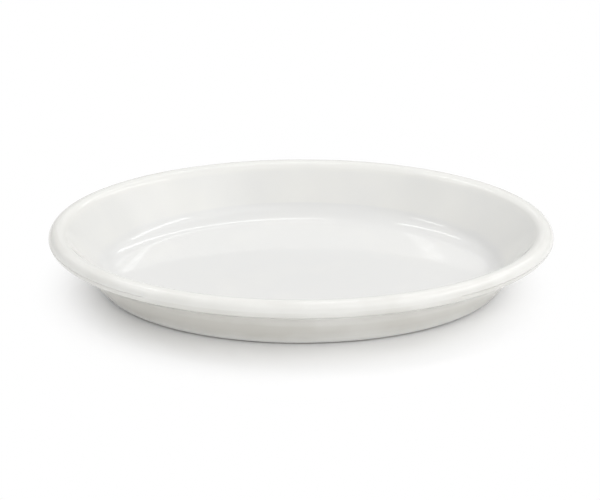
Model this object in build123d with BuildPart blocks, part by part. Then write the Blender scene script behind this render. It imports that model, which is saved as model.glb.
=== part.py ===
from build123d import *
from math import cos, hypot, radians, sin
import os

# Oval gratin dish: a fired clay body with a rolled rim, under a glaze.
# Millimetres, +Z up, +X along the dish. The origin is the middle of the foot's underside.

# Overall sizes, measured over the glaze
dish_length = 280.0
dish_width = 185.0
dish_height = 34.0

# Rolled rim: a bead of one radius all the way round, round from its crest to its underside.
# From there it runs in to the wall, which it meets in a hollow
bead_radius = 4.8
underside_angle = 60.0
hollow_depth = 8.6
hollow_height = 3.0

# The level land on the crest, and the shoulder that rolls from it down into the well
land_width = 0.8
shoulder_height = 4.2

# Wall and floor, glaze included. The wall springs from an oval foot and leans out to the rim,
# further at the ends than at the sides
foot_length = 220.0
foot_width = 146.0
wall_thickness = 5.6
floor_thickness = 5.6
foot_edge_width = 1.4
foot_edge_height = 1.4

# The cove that takes the floor up into the wall
cove_width = 8.0
cove_height = 6.5

# Underside: a flat foot ring round a shallow recess
foot_ring_width = 7.0
recess_depth = 1.2

# Glaze: one even coat, wiped off the foot before firing
glaze_thickness = 0.35
bare_foot_height = 0.5

# Curves across the section are made in level bands: how many round the bead,
# and how far along each rounded corner a band ends
bead_bands = 5
corner_shares = (0, 0.5, 1)

# How far a cutting solid runs past what it cuts
overrun = 5.0

# The rim's centre line, and how far the wall runs outwards while it rises to it
rim_height = dish_height - bead_radius
rim_end = dish_length / 2 - bead_radius
rim_side = dish_width / 2 - bead_radius
end_run = rim_end - foot_length / 2
side_run = rim_side - foot_width / 2

# How far a leaning wall moves along the level for each unit that it moves square to its face
end_slant = hypot(end_run, rim_height) / rim_height
side_slant = hypot(side_run, rim_height) / rim_height


def rim_oval(reach, rise):
    """The oval this far outwards from the rim's centre line and this far above it."""
    return rim_end + reach, rim_side + reach, rim_height + rise


def wall_oval(level, depth, reach=0):
    """The wall's oval at one level, this deep into the wall and then this far outwards."""
    share = level / rim_height
    half_length = foot_length / 2 + end_run * share - depth * end_slant + reach
    half_width = foot_width / 2 + side_run * share - depth * side_slant + reach
    return half_length, half_width, level


def rounded(start, corner, finish, shares):
    """The ovals that round off a corner, one for each share of the way from start to finish."""
    ovals = []
    for share in shares:
        rest = 1 - share
        ovals.append([
            first * rest ** 2 + middle * 2 * rest * share + last * share ** 2
            for first, middle, last in zip(start, corner, finish)
        ])
    return ovals


def outer_ovals(inset):
    """Up the outside: the foot's edge, the wall, the hollow and the bead to the rim's crest."""
    foot_edge = [
        wall_oval(0, inset, -foot_edge_width),
        wall_oval(foot_edge_height, inset),
    ]
    bead = []
    for band in range(bead_bands + 1):
        angle = radians(-underside_angle + (90 + underside_angle) * band / bead_bands)
        face_radius = bead_radius - inset
        bead.append(rim_oval(face_radius * cos(angle), face_radius * sin(angle)))
    corner_level = rim_height - hollow_depth
    hollow = rounded(
        wall_oval(corner_level - hollow_height, inset),
        wall_oval(corner_level + inset, inset),
        bead[0],
        corner_shares,
    )
    return foot_edge + hollow + bead[1:]


def well_ovals(inset):
    """Up the inside: the floor, the cove, the wall, and the shoulder to the land on the crest."""
    depth = wall_thickness - inset
    floor_level = floor_thickness - inset
    crest_level = dish_height - inset
    cove = rounded(
        wall_oval(floor_level, depth, -cove_width),
        wall_oval(floor_level, depth),
        wall_oval(floor_thickness + cove_height, depth),
        corner_shares,
    )
    shoulder = rounded(
        wall_oval(dish_height - shoulder_height, depth),
        wall_oval(crest_level, depth),
        rim_oval(-land_width, bead_radius - inset),
        corner_shares,
    )
    clear_of_crest = rim_oval(-land_width, bead_radius + overrun)
    return cove + shoulder + [clear_of_crest]


def stacked(ovals):
    """The solid through a stack of ovals, each with its half length, half width and level."""
    with BuildPart() as form:
        for half_length, half_width, level in ovals:
            with BuildSketch(Plane.XY.offset(level)):
                Ellipse(half_length, half_width)
        loft(ruled=True)
    return form.part


def dish_form(inset):
    """The whole dish with each face drawn back by inset, so that 0 gives the glaze's own surface."""
    with BuildPart() as form:
        add(stacked(outer_ovals(inset)))
        add(stacked(well_ovals(inset)), mode=Mode.SUBTRACT)

        # The recess under the floor, inside the foot ring
        with BuildSketch():
            Ellipse(foot_length / 2 - foot_ring_width + inset, foot_width / 2 - foot_ring_width + inset)
        extrude(amount=recess_depth + inset, mode=Mode.SUBTRACT)
    return form.part


# The clay as it is fired, bare at the foot
with BuildPart() as dish_body:
    add(dish_form(glaze_thickness))

# The glaze: what the glazed dish has over the clay, above the line where the foot is wiped
with BuildPart() as glaze:
    add(dish_form(0))
    add(dish_body.part, mode=Mode.SUBTRACT)
    split(bisect_by=Plane.XY.offset(bare_foot_height), keep=Keep.TOP)

# It falls into the coat over the wall, rim and well, and a patch in the recess
patch_and_coat = glaze.solids().sort_by(SortBy.VOLUME)

with BuildPart() as glaze_coat:
    add(patch_and_coat[-1])

with BuildPart() as recess_glaze:
    add(patch_and_coat[0])

os.makedirs("parts", exist_ok=True)

dish_body.part.label = "dish_body"
export_step(dish_body.part, "parts/dish_body.step")

glaze_coat.part.label = "glaze_coat"
export_step(glaze_coat.part, "parts/glaze_coat.step")

recess_glaze.part.label = "recess_glaze"
export_step(recess_glaze.part, "parts/recess_glaze.step")
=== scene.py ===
import bpy
from math import cos, pi, radians, sin, tan
from mathutils import Matrix, Quaternion, Vector


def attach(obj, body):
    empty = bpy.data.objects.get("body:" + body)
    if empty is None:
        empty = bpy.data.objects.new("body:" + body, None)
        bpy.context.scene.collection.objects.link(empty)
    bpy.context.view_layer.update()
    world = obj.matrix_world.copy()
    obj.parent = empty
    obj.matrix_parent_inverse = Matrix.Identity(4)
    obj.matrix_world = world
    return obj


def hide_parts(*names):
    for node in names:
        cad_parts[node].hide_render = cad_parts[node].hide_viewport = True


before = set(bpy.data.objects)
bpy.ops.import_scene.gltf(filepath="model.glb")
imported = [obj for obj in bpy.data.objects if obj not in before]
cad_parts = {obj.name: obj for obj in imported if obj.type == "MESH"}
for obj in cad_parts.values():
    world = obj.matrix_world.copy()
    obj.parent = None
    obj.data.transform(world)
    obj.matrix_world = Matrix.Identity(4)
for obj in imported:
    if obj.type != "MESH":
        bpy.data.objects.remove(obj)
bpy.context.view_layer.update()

# The glazed dish in metres, at the solids' own sizes. Curves that the solids make in level
# bands are true curves here
rim_half_length = 0.1352
rim_half_width = 0.0877
rim_height = 0.0292
foot_half_length = 0.1100
foot_half_width = 0.0730
dish_height = 0.0340
wall_thickness = 0.0056
floor_thickness = 0.0056

# The section's curves, from the well over the rim to the foot
cove_radius = 0.0140
shoulder_radius = 0.0055
bead_radius = 0.0048
underside_angle = radians(60)
hollow_depth = 0.0086
hollow_radius = 0.0200
foot_edge_width = 0.0014
foot_edge_height = 0.0014
foot_edge_radius = 0.0030

# Underside
foot_ring_width = 0.0070
recess_depth = 0.0012
ring_edge_radius = 0.0003

# Glaze
glaze_thickness = 0.00035
glaze_edge_radius = 0.0002
bare_foot_height = 0.0005

# How the glaze lies: above 0 where it pools, below 0 where it runs thin. Some figures also carry painted light:
# the outer wall grows lighter towards the foot, against the shade there
floor_gather = 0.6
shoulder_gather = -0.3
crest_gather = -0.5
bead_gather = -0.7
hollow_gather = -1.0
# Outer wall: thin glaze high up, then lighter towards the foot, which is painted light
outer_wall_thinning_and_painted_light = ((0.0140, -1.2), (0.0095, -1.2), (0.0058, -0.9), (0.0032, -0.4))  # level, gather
# Foot edge: lighter again, painted light
foot_edge_painted_light = 0.2
bare_line_gather = 0.4

# Steps that round off each curve, on a face that shows and on one that the glaze hides
shown_steps = dict(cove=18, shoulder=14, bead=14, hollow=12, foot_edge=6)
hidden_steps = dict(cove=5, shoulder=4, bead=4, hollow=6, foot_edge=2)
small_edge_steps = 3
glaze_edge_steps = 4

# Further points on a face that shows: shares of the way over the floor, and levels up the wall
floor_shares = (0.25, 0.5, 0.7, 0.82, 0.86)
well_wall_levels = (0.0140, 0.0175, 0.0220, 0.0265, 0.0298)

# Round the oval: steps, how far a fired dish is uneven and how widely, and where the seam closes
steps_around = 384
unevenness = 0.00012
unevenness_width = 0.045
unevenness_seed = 4
seam_gap = 0.000002

# Camera, in front of the dish and a little to the left
camera_distance = 1.6
camera_elevation = radians(27.0)
camera_turn = radians(0.35)
sensor_width = 36.0
focal_length = 172.5
picture_width = 600
dish_middle = Vector((0.0, 0.0, 0.015))
pixels_right = 1.2
pixels_down = 7.8

# Table, and the oval round the dish past which it runs out to plain white. The white starts inside the dish's
# shadow, so it also paints light over the shadow's outer part
table_reach = 3.0
oval_shift = (0.003, 0.009, 0.0)
oval_stretch = (1.0, 1.15, 1.0)
white_starts = 0.093
white_is_full = 0.148

# Lamps: name, degrees round from straight behind the dish, degrees up, width and height, watts.
# A strip is also turned by some degrees
lamp_distance = 1.6
room_strength = 0.485
softboxes = (
    ("right_softbox", 86.0, 52.0, (2.0, 1.1), 3.0),
    ("front_right_softbox", 128.0, 44.0, (1.4, 1.1), 6.6),
    ("camera_softbox", 180.0, 42.0, (1.8, 0.9), 3.1),
    ("front_left_softbox", -132.0, 58.0, (1.2, 0.9), 1.1),
    ("left_softbox", -80.0, 58.0, (2.0, 1.0), 4.7),
)
strips = (
    ("back_right_strip", 30.0, 57.0, (0.16, 1.2), 2.5, -33.0),
    ("back_left_strip", -54.0, 65.0, (0.14, 0.5), 1.2, 0.0),
    ("back_strip", 0.0, 36.0, (0.6, 0.28), 0.35, 0.0),
    ("high_right_strip", 100.0, 47.0, (1.2, 0.20), 3.15, 0.0),
    ("high_left_strip", -115.0, 47.0, (0.4, 0.16), 0.85, 0.0),
    ("low_front_right_strip", 146.0, 15.0, (0.8, 0.06), 0.7, 0.0),
)

# A softbox's panels: their sizes as shares of its own, and how far each lies behind the last
panel_shares = (0.7, 0.85, 1.0, 1.15, 1.3)
panel_gap = 0.02


# Camera

def set_camera():
    """A long lens that looks down on the dish, the dish a little under the picture's middle."""
    lens_data = bpy.data.cameras.new("studio_camera")
    camera = bpy.data.objects.new("studio_camera", lens_data)
    bpy.context.scene.collection.objects.link(camera)
    bpy.context.scene.camera = camera
    lens_data.sensor_fit = "HORIZONTAL"
    lens_data.sensor_width = sensor_width
    lens_data.lens = focal_length
    lens_data.clip_start = 0.05

    level_reach = cos(camera_elevation)
    away = Vector((-sin(camera_turn) * level_reach, -cos(camera_turn) * level_reach, sin(camera_elevation)))
    right = Vector((cos(camera_turn), -sin(camera_turn), 0.0))
    up = right.cross(-away)
    camera.location = dish_middle + away * camera_distance

    # The dish lies right of the picture's middle and below it, so the lens aims left of the dish and above
    pixel = sensor_width / picture_width / focal_length * camera_distance
    aim = dish_middle - right * pixels_right * pixel + up * pixels_down * pixel
    back = (camera.location - aim).normalized()
    side = Vector((0, 0, 1)).cross(back).normalized()
    top = back.cross(side)
    camera.rotation_euler = Matrix((side, top, back)).transposed().to_euler()


# Short words for building node trees

def put(tree, kind, **settings):
    """Add a node and set what its settings name."""
    node = tree.nodes.new(kind)
    for name, value in settings.items():
        setattr(node, name, value)
    return node


def feed(tree, socket, value):
    """Give a socket a value, or a wire from another socket."""
    if isinstance(value, bpy.types.NodeSocket):
        tree.links.new(value, socket)
    else:
        socket.default_value = value


def reckon(tree, operation, *values):
    """One step of arithmetic."""
    node = put(tree, "ShaderNodeMath", operation=operation)
    for socket, value in zip(node.inputs, values):
        feed(tree, socket, value)
    return node.outputs[0]


def joined(tree, x=0.0, y=0.0, z=0.0):
    """A vector from its three figures."""
    node = put(tree, "ShaderNodeCombineXYZ")
    for socket, value in zip(node.inputs, (x, y, z)):
        feed(tree, socket, value)
    return node.outputs[0]


def parted(tree, vector):
    """A vector's three figures."""
    node = put(tree, "ShaderNodeSeparateXYZ")
    feed(tree, node.inputs[0], vector)
    return node.outputs


# The section: a chain of corners, each with its level and its reach

def corner(level, depth=0.0, wall=1.0, rim=0.0, beyond=0.0, rounding=0.0, steps=1, tone_with_painted_light=0.0):
    """A corner this deep inside the leaning wall, or this far beyond the rim's centre line.

    wall and rim are shares of the wall's and the rim's reach. The corner is then rounded off.
    The glaze figure says how the glaze lies there, and on the rim and low on the outer wall it also carries
    painted light.
    """
    return dict(level=level, depth=depth, wall=wall, rim=rim, beyond=beyond,
                rounding=rounding, steps=steps, tone_with_painted_light=tone_with_painted_light)


def under_foot(level, inwards, rounding=0.0, steps=1):
    """A corner this far inwards from the foot's outline, with the wall's lean taken off."""
    wall = 1.0 / (1.0 - level / rim_height)
    return corner(level, wall=wall, rim=1.0 - wall, beyond=-inwards, rounding=rounding, steps=steps)


def face_corners(inset, shown):
    """The dish's face drawn back by inset: from the well's middle over the rim to the foot's edge."""
    steps = shown_steps if shown else hidden_steps
    floor = floor_thickness - inset
    behind = wall_thickness - inset
    crest = dish_height - inset
    bead = bead_radius - inset
    under = rim_height - bead * tan(underside_angle / 2)
    hollow = rim_height - hollow_depth + inset

    corners = [corner(floor, behind, wall=0.0, tone_with_painted_light=floor_gather)]
    if shown:
        corners += [corner(floor, behind, wall=share, tone_with_painted_light=floor_gather) for share in floor_shares]
    corners.append(corner(floor, behind, rounding=cove_radius + inset, steps=steps["cove"], tone_with_painted_light=floor_gather))
    if shown:
        corners += [corner(level, behind) for level in well_wall_levels]
    corners += [
        corner(crest, behind, rounding=shoulder_radius - inset, steps=steps["shoulder"], tone_with_painted_light=shoulder_gather),
        corner(crest, wall=0.0, rim=1.0, beyond=bead, rounding=bead, steps=steps["bead"], tone_with_painted_light=crest_gather),
        corner(under, wall=0.0, rim=1.0, beyond=bead, rounding=bead, steps=steps["bead"], tone_with_painted_light=bead_gather),
        corner(hollow, inset, rounding=hollow_radius + inset, steps=steps["hollow"], tone_with_painted_light=hollow_gather),
    ]
    if shown:
        corners += [corner(level, tone_with_painted_light=tone_with_painted_light) for level, tone_with_painted_light in outer_wall_thinning_and_painted_light]
    corners.append(corner(foot_edge_height, inset, rounding=foot_edge_radius, steps=steps["foot_edge"],
                          tone_with_painted_light=foot_edge_painted_light))
    return corners


def coat_corners():
    """The glaze: the dish's own face down to the bare line on the foot, and back over the clay's face."""
    bare_edge = foot_edge_width * (bare_foot_height / foot_edge_height - 1)
    outer = face_corners(0.0, True)
    outer.append(corner(bare_foot_height, beyond=bare_edge, rounding=glaze_edge_radius,
                        steps=glaze_edge_steps, tone_with_painted_light=bare_line_gather))
    inner = face_corners(glaze_thickness, False)
    inner.append(corner(bare_foot_height, glaze_thickness, beyond=bare_edge))
    return outer + inner[::-1]


def clay_corners():
    """The clay: its face under the glaze, the bare foot ring, and the recess under the floor."""
    ring = foot_ring_width - glaze_thickness
    ceiling = recess_depth + glaze_thickness
    clear = 3 * ring_edge_radius
    edge = dict(rounding=ring_edge_radius, steps=small_edge_steps)
    return face_corners(glaze_thickness, False) + [
        corner(0.0, glaze_thickness, beyond=-foot_edge_width, **edge),
        under_foot(0.0, foot_edge_width + clear),
        under_foot(0.0, ring - clear),
        under_foot(0.0, ring, **edge),
        under_foot(ceiling, ring, **edge),
        under_foot(ceiling, ring + clear),
        corner(ceiling, wall=0.0),
    ]


def section_mesh(name, corners):
    """A section's corners as a chain of points that carry their own figures."""
    mesh = bpy.data.meshes.new(name)
    mesh.from_pydata([(0.0, 0.0, point["level"]) for point in corners],
                     [(i, i + 1) for i in range(len(corners) - 1)], [])
    for figure in ("depth", "wall", "rim", "beyond", "rounding", "tone_with_painted_light"):
        layer = mesh.attributes.new(figure, "FLOAT", "POINT")
        layer.data.foreach_set("value", [point[figure] for point in corners])
    layer = mesh.attributes.new("steps", "INT", "POINT")
    layer.data.foreach_set("value", [point["steps"] for point in corners])
    return mesh


# The tree that leans the section with the wall, rounds its corners and carries it round the oval

def figure_of(tree, name, data_type="FLOAT"):
    """A figure that the section's points carry."""
    node = put(tree, "GeometryNodeInputNamedAttribute", data_type=data_type)
    node.inputs["Name"].default_value = name
    return node.outputs["Attribute"]


def leaned_section(tree, section, level, rim_half, foot_half, height):
    """The section where the rim reaches rim_half and the foot foot_half, with its corners rounded."""
    slope = reckon(tree, "DIVIDE", reckon(tree, "SUBTRACT", rim_half, foot_half), height)
    slant = reckon(tree, "SQRT", reckon(tree, "MULTIPLY_ADD", slope, slope, 1.0))
    face = reckon(tree, "MULTIPLY_ADD", slope, level, foot_half)
    inside = reckon(tree, "SUBTRACT", face, reckon(tree, "MULTIPLY", figure_of(tree, "depth"), slant))
    at_rim = reckon(tree, "MULTIPLY_ADD", figure_of(tree, "rim"), rim_half, figure_of(tree, "beyond"))
    reach = reckon(tree, "MULTIPLY_ADD", figure_of(tree, "wall"), inside, at_rim)
    move = put(tree, "GeometryNodeSetPosition")
    feed(tree, move.inputs["Geometry"], section)
    feed(tree, move.inputs["Position"], joined(tree, x=reach, z=level))
    line = put(tree, "GeometryNodeMeshToCurve")
    feed(tree, line.inputs["Mesh"], move.outputs[0])
    rounded = put(tree, "GeometryNodeFilletCurve", mode="POLY")
    feed(tree, rounded.inputs["Curve"], line.outputs[0])
    feed(tree, rounded.inputs["Radius"], figure_of(tree, "rounding"))
    feed(tree, rounded.inputs["Count"], figure_of(tree, "steps", "INT"))
    return rounded.outputs[0]


def sampled(tree, section, value, row, data_type="FLOAT"):
    """The value at one point of the rounded section."""
    node = put(tree, "GeometryNodeSampleIndex", data_type=data_type, domain="POINT")
    feed(tree, node.inputs["Geometry"], section)
    feed(tree, node.inputs["Value"], value)
    feed(tree, node.inputs["Index"], row)
    return node.outputs[0]


def drawn_in(tree, place, given):
    """The slight unevenness of a fired dish, always inwards and level, so that no size grows."""
    noise = put(tree, "ShaderNodeTexNoise", noise_dimensions="4D")
    feed(tree, noise.inputs["Vector"], place)
    feed(tree, noise.inputs["W"], given["Seed"])
    feed(tree, noise.inputs["Scale"], reckon(tree, "DIVIDE", 1.0, given["Unevenness width"]))
    feed(tree, noise.inputs["Detail"], 0.0)
    dip = reckon(tree, "MULTIPLY", noise.outputs["Fac"], given["Unevenness"])
    shrink = reckon(tree, "SUBTRACT", 1.0, reckon(tree, "DIVIDE", dip, given["Rim half width"]))
    uneven = put(tree, "ShaderNodeVectorMath", operation="MULTIPLY")
    feed(tree, uneven.inputs[0], place)
    feed(tree, uneven.inputs[1], joined(tree, shrink, shrink, 1.0))
    return uneven.outputs[0]


def section_round_oval():
    """Carries a section round an oval, and leans it more at the ends than at the sides."""
    tree = bpy.data.node_groups.new("section_round_oval", "GeometryNodeTree")
    tree.interface.new_socket("Section", in_out="INPUT", socket_type="NodeSocketGeometry")
    for name in ("Rim half length", "Rim half width", "Rim height", "Foot half length", "Foot half width",
                 "Unevenness", "Unevenness width"):
        tree.interface.new_socket(name, in_out="INPUT", socket_type="NodeSocketFloat")
    tree.interface.new_socket("Steps around", in_out="INPUT", socket_type="NodeSocketInt")
    tree.interface.new_socket("Seed", in_out="INPUT", socket_type="NodeSocketInt")
    tree.interface.new_socket("Finish", in_out="INPUT", socket_type="NodeSocketMaterial")
    tree.interface.new_socket("Geometry", in_out="OUTPUT", socket_type="NodeSocketGeometry")
    given = put(tree, "NodeGroupInput").outputs
    where = put(tree, "GeometryNodeInputPosition").outputs[0]
    level = parted(tree, where)["Z"]

    # The section as it is at the ends, and as it is at the sides
    end = leaned_section(tree, given["Section"], level, given["Rim half length"],
                         given["Foot half length"], given["Rim height"])
    side = leaned_section(tree, given["Section"], level, given["Rim half width"],
                          given["Foot half width"], given["Rim height"])

    # A grid with a row for each point of the section, and a column for each step round the oval
    count = put(tree, "GeometryNodeAttributeDomainSize", component="CURVE")
    feed(tree, count.inputs[0], end)
    columns = reckon(tree, "ADD", given["Steps around"], 1.0)
    grid = put(tree, "GeometryNodeMeshGrid")
    feed(tree, grid.inputs["Vertices X"], count.outputs["Point Count"])
    feed(tree, grid.inputs["Vertices Y"], columns)
    index = put(tree, "GeometryNodeInputIndex").outputs[0]
    row = reckon(tree, "FLOOR", reckon(tree, "DIVIDE", reckon(tree, "ADD", index, 0.5), columns))
    step = reckon(tree, "SUBTRACT", index, reckon(tree, "MULTIPLY", row, columns))
    turn = reckon(tree, "MULTIPLY", reckon(tree, "DIVIDE", step, given["Steps around"]), 2 * pi)
    along = reckon(tree, "COSINE", turn)
    across = reckon(tree, "SINE", turn)

    # Each point of the grid goes between the end's section and the side's
    end_point = parted(tree, sampled(tree, end, where, row, "FLOAT_VECTOR"))
    side_point = parted(tree, sampled(tree, side, where, row, "FLOAT_VECTOR"))
    rise = reckon(tree, "MULTIPLY_ADD", reckon(tree, "MULTIPLY", along, along),
                  reckon(tree, "SUBTRACT", end_point["Z"], side_point["Z"]), side_point["Z"])
    place = joined(tree, reckon(tree, "MULTIPLY", end_point["X"], along),
                   reckon(tree, "MULTIPLY", side_point["X"], across), rise)
    shape = put(tree, "GeometryNodeSetPosition")
    feed(tree, shape.inputs["Geometry"], grid.outputs["Mesh"])
    feed(tree, shape.inputs["Position"], drawn_in(tree, place, given))

    # The glaze figure, which also carries painted light, kept for the finish
    keep = put(tree, "GeometryNodeStoreNamedAttribute", data_type="FLOAT", domain="POINT")
    feed(tree, keep.inputs["Geometry"], shape.outputs[0])
    keep.inputs["Name"].default_value = "glaze_tone_with_painted_light"
    feed(tree, keep.inputs["Value"], sampled(tree, end, figure_of(tree, "tone_with_painted_light"), row))
    closed = put(tree, "GeometryNodeMergeByDistance")
    feed(tree, closed.inputs["Geometry"], keep.outputs[0])
    feed(tree, closed.inputs["Distance"], seam_gap)
    smooth = put(tree, "GeometryNodeSetShadeSmooth")
    feed(tree, smooth.inputs["Geometry"], closed.outputs[0])
    real = put(tree, "GeometryNodeRealizeInstances")
    feed(tree, real.inputs["Geometry"], smooth.outputs[0])
    finish = put(tree, "GeometryNodeSetMaterial")
    feed(tree, finish.inputs["Geometry"], real.outputs[0])
    feed(tree, finish.inputs["Material"], given["Finish"])
    out = put(tree, "NodeGroupOutput")
    feed(tree, out.inputs["Geometry"], finish.outputs[0])
    return tree


def carried_round(tree, name, corners, finish):
    """One closed piece of the dish: a section, carried round the oval by the tree."""
    piece = bpy.data.objects.new(name, section_mesh(name + "_section", corners))
    bpy.context.scene.collection.objects.link(piece)
    carry = piece.modifiers.new("carry_round", "NODES")
    carry.node_group = tree
    sizes = {
        "Rim half length": rim_half_length,
        "Rim half width": rim_half_width,
        "Rim height": rim_height,
        "Foot half length": foot_half_length,
        "Foot half width": foot_half_width,
        "Unevenness": unevenness,
        "Unevenness width": unevenness_width,
        "Steps around": steps_around,
        "Seed": unevenness_seed,
        "Finish": finish,
    }
    for item in tree.interface.items_tree:
        if item.in_out == "INPUT" and item.name in sizes:
            carry[item.identifier] = sizes[item.name]
    ready = piece.evaluated_get(bpy.context.evaluated_depsgraph_get())
    mesh = bpy.data.meshes.new_from_object(ready)
    piece.modifiers.remove(carry)
    piece.data = mesh
    mesh.name = name
    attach(piece, "root")
    return piece


def make_dish(glaze, clay):
    """The glaze coat and the clay under it. The glaze in the recess keeps its CAD form."""
    tree = section_round_oval()
    coat = carried_round(tree, "white_glaze_coat", coat_corners(), glaze)
    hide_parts("glaze_coat")
    body = carried_round(tree, "fired_clay_body", clay_corners(), clay)
    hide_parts("dish_body")
    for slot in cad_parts["recess_glaze"].material_slots:
        slot.material = glaze


# Finishes

def new_finish(name):
    """A material with its shader and output, and nothing else."""
    finish = bpy.data.materials.new(name)
    finish.use_nodes = True
    tree = finish.node_tree
    tree.nodes.clear()
    shader = put(tree, "ShaderNodeBsdfPrincipled")
    out = put(tree, "ShaderNodeOutputMaterial")
    feed(tree, out.inputs["Surface"], shader.outputs[0])
    return finish, tree, shader, out


def cloud(tree, width, detail=2.0, roughness=0.5):
    """A soft noise of this width, in metres, fixed to the object. It stays mostly between 0.3 and 0.7."""
    place = put(tree, "ShaderNodeTexCoord")
    noise = put(tree, "ShaderNodeTexNoise")
    feed(tree, noise.inputs["Vector"], place.outputs["Object"])
    feed(tree, noise.inputs["Scale"], 1.0 / width)
    feed(tree, noise.inputs["Detail"], detail)
    feed(tree, noise.inputs["Roughness"], roughness)
    return noise.outputs["Fac"]


def spread(tree, value, low, high, new_low=0.0, new_high=1.0, way="LINEAR"):
    """Map the range from low to high to a new one."""
    node = put(tree, "ShaderNodeMapRange", interpolation_type=way)
    feed(tree, node.inputs["Value"], value)
    for name, number in zip(("From Min", "From Max", "To Min", "To Max"), (low, high, new_low, new_high)):
        node.inputs[name].default_value = number
    return node.outputs["Result"]


def blend(tree, factor, first, second):
    """Between two colours."""
    node = put(tree, "ShaderNodeMix", data_type="RGBA")
    feed(tree, node.inputs["Factor"], factor)
    colours = [socket for socket in node.inputs if socket.type == "RGBA"]
    feed(tree, colours[0], first)
    feed(tree, colours[1], second)
    return [socket for socket in node.outputs if socket.type == "RGBA"][0]


def bumped(tree, shader, *layers):
    """Bump in layers, each a value and its height in metres."""
    normal = None
    for value, height in layers:
        bump = put(tree, "ShaderNodeBump")
        feed(tree, bump.inputs["Strength"], 1.0)
        feed(tree, bump.inputs["Distance"], height)
        feed(tree, bump.inputs["Height"], value)
        if normal:
            feed(tree, bump.inputs["Normal"], normal)
        normal = bump.outputs[0]
    feed(tree, shader.inputs["Normal"], normal)


def glaze_finish():
    """A clear, glossy white glaze: whiter where it pools, warmer where it runs thin. Its rim colour is also
    lighter than the floor's, painted light that brightens the bead and the foot of the outer wall.
    """
    pooled_white = (0.792, 0.792, 0.781, 1.0)
    # Warm tone of thin glaze, made lighter than the pooled white: painted light on the bead and low on the outer
    # wall
    rim_white_and_painted_light = (0.840, 0.836, 0.806, 1.0)
    thin_white = (0.682, 0.670, 0.627, 1.0)
    finish, tree, shader, _ = new_finish("white_glaze")

    # The coat's own thickness, together with the painted light on the rim and the lower outer wall, with a slow
    # drift of the firing over it
    tone_with_painted_light = put(tree, "ShaderNodeAttribute", attribute_name="glaze_tone_with_painted_light").outputs["Fac"]
    drift = spread(tree, cloud(tree, width=0.030), 0.3, 0.7, -0.25, 0.25)
    coat = reckon(tree, "ADD", tone_with_painted_light, drift)
    full = blend(tree, spread(tree, coat, -0.3, 0.6), rim_white_and_painted_light, pooled_white)
    feed(tree, shader.inputs["Base Color"], blend(tree, spread(tree, coat, -1.2, -0.5), thin_white, full))
    feed(tree, shader.inputs["Roughness"], spread(tree, cloud(tree, width=0.012), 0.3, 0.7, 0.04, 0.07))
    shader.inputs["IOR"].default_value = 1.5

    # Broad waves of the coat, and fine orange peel
    waves = cloud(tree, width=0.022, detail=1.0)
    peel = cloud(tree, width=0.0028, detail=1.0)
    bumped(tree, shader, (waves, 0.00010), (peel, 0.000004))
    return finish


def clay_finish():
    """The bare, fired clay of the foot: matt, slightly warm, with a fine grain."""
    dark_grain = (0.36, 0.33, 0.28, 1.0)
    light_grain = (0.50, 0.46, 0.40, 1.0)
    warm_patch = (0.44, 0.39, 0.32, 1.0)
    finish, tree, shader, _ = new_finish("bare_clay")
    grain = cloud(tree, width=0.0006, detail=3.0, roughness=0.6)
    patches = spread(tree, cloud(tree, width=0.018), 0.3, 0.7, 0.0, 0.35)
    fine = blend(tree, spread(tree, grain, 0.35, 0.65), dark_grain, light_grain)
    feed(tree, shader.inputs["Base Color"], blend(tree, patches, fine, warm_patch))
    feed(tree, shader.inputs["Roughness"], spread(tree, grain, 0.3, 0.7, 0.75, 0.92))
    bumped(tree, shader, (grain, 0.00008))
    return finish


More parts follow.
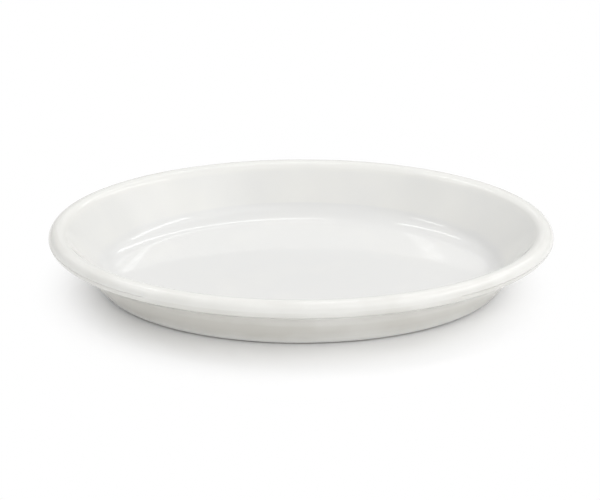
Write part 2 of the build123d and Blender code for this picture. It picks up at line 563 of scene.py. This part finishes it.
def table_finish():
    """White board. It keeps the dish's shadow near the foot, and runs out to plain white away from it; the white
    also lightens the shadow's outer part, as painted light.
    """
    board_white = (0.942, 0.942, 0.942, 1.0)
    board_shade = (0.936, 0.936, 0.936, 1.0)
    finish, tree, shader, out = new_finish("studio_board")
    tone = spread(tree, cloud(tree, width=0.08), 0.3, 0.7)
    feed(tree, shader.inputs["Base Color"], blend(tree, tone, board_shade, board_white))
    shader.inputs["Roughness"].default_value = 0.9
    shader.inputs["Specular IOR Level"].default_value = 0.1

    # How far out a point is, from 0 inside the oval round the dish to 1 well outside
    place = put(tree, "ShaderNodeTexCoord")
    oval = put(tree, "ShaderNodeMapping")
    feed(tree, oval.inputs["Vector"], place.outputs["Object"])
    feed(tree, oval.inputs["Location"], oval_shift)
    feed(tree, oval.inputs["Scale"], oval_stretch)
    length = put(tree, "ShaderNodeVectorMath", operation="LENGTH")
    feed(tree, length.inputs[0], oval.outputs[0])
    far = spread(tree, length.outputs["Value"], white_starts, white_is_full, way="SMOOTHSTEP")

    # Plain white, as the camera and the gloss see it: a glow that also paints light over the outer part of the
    # dish's shadow
    rays = put(tree, "ShaderNodeLightPath").outputs
    seen = reckon(tree, "MAXIMUM", rays["Is Camera Ray"],
                  reckon(tree, "MAXIMUM", rays["Is Glossy Ray"], rays["Is Transmission Ray"]))
    white = put(tree, "ShaderNodeEmission")
    mixed = put(tree, "ShaderNodeMixShader")
    feed(tree, mixed.inputs[0], reckon(tree, "MULTIPLY", seen, far))
    feed(tree, mixed.inputs[1], shader.outputs[0])
    feed(tree, mixed.inputs[2], white.outputs[0])
    feed(tree, out.inputs["Surface"], mixed.outputs[0])
    return finish


# Studio

def make_table(finish):
    """A plain white table under the dish."""
    reach = table_reach
    mesh = bpy.data.meshes.new("studio_table")
    mesh.from_pydata([(-reach, -reach, 0), (reach, -reach, 0), (reach, reach, 0), (-reach, reach, 0)],
                     [], [(0, 1, 2, 3)])
    mesh.materials.append(finish)
    table = bpy.data.objects.new("studio_table", mesh)
    bpy.context.scene.collection.objects.link(table)


def hang_lamp(name, around, height, size, power, tilt=0.0, distance=lamp_distance):
    """A rectangular lamp that faces the dish."""
    lamp = bpy.data.lights.new(name, "AREA")
    lamp.shape = "RECTANGLE"
    lamp.size, lamp.size_y = size
    lamp.energy = power
    hung = bpy.data.objects.new(name, lamp)
    bpy.context.scene.collection.objects.link(hung)
    around, height = radians(around), radians(height)
    away = Vector((sin(around) * cos(height), cos(around) * cos(height), sin(height)))
    hung.location = away * distance
    hung.rotation_euler = (away.to_track_quat("Z", "Y") @ Quaternion((0, 0, 1), radians(tilt))).to_euler()


def hang_softbox(name, around, height, size, power):
    """A large lamp that fades out towards its edges: panels of growing size, each just behind the last."""
    whole = sum(share ** 2 for share in panel_shares)
    for number, share in enumerate(panel_shares):
        hang_lamp(f"{name}_{number + 1}", around, height, (size[0] * share, size[1] * share),
                  power * share ** 2 / whole, distance=lamp_distance + panel_gap * number)


def light_studio():
    """Softboxes on both sides and in front, strips for the glints on the cove and the rim, and a white room."""
    for softbox in softboxes:
        hang_softbox(*softbox)
    for strip in strips:
        hang_lamp(*strip)
    room = bpy.data.worlds.new("studio_room")
    bpy.context.scene.world = room
    room.use_nodes = True
    shade = room.node_tree.nodes["Background"]
    shade.inputs["Color"].default_value = (1.0, 1.0, 1.0, 1.0)
    shade.inputs["Strength"].default_value = room_strength


set_camera()
make_dish(glaze_finish(), clay_finish())
make_table(table_finish())
light_studio()
bpy.context.scene.view_settings.view_transform = "Standard"
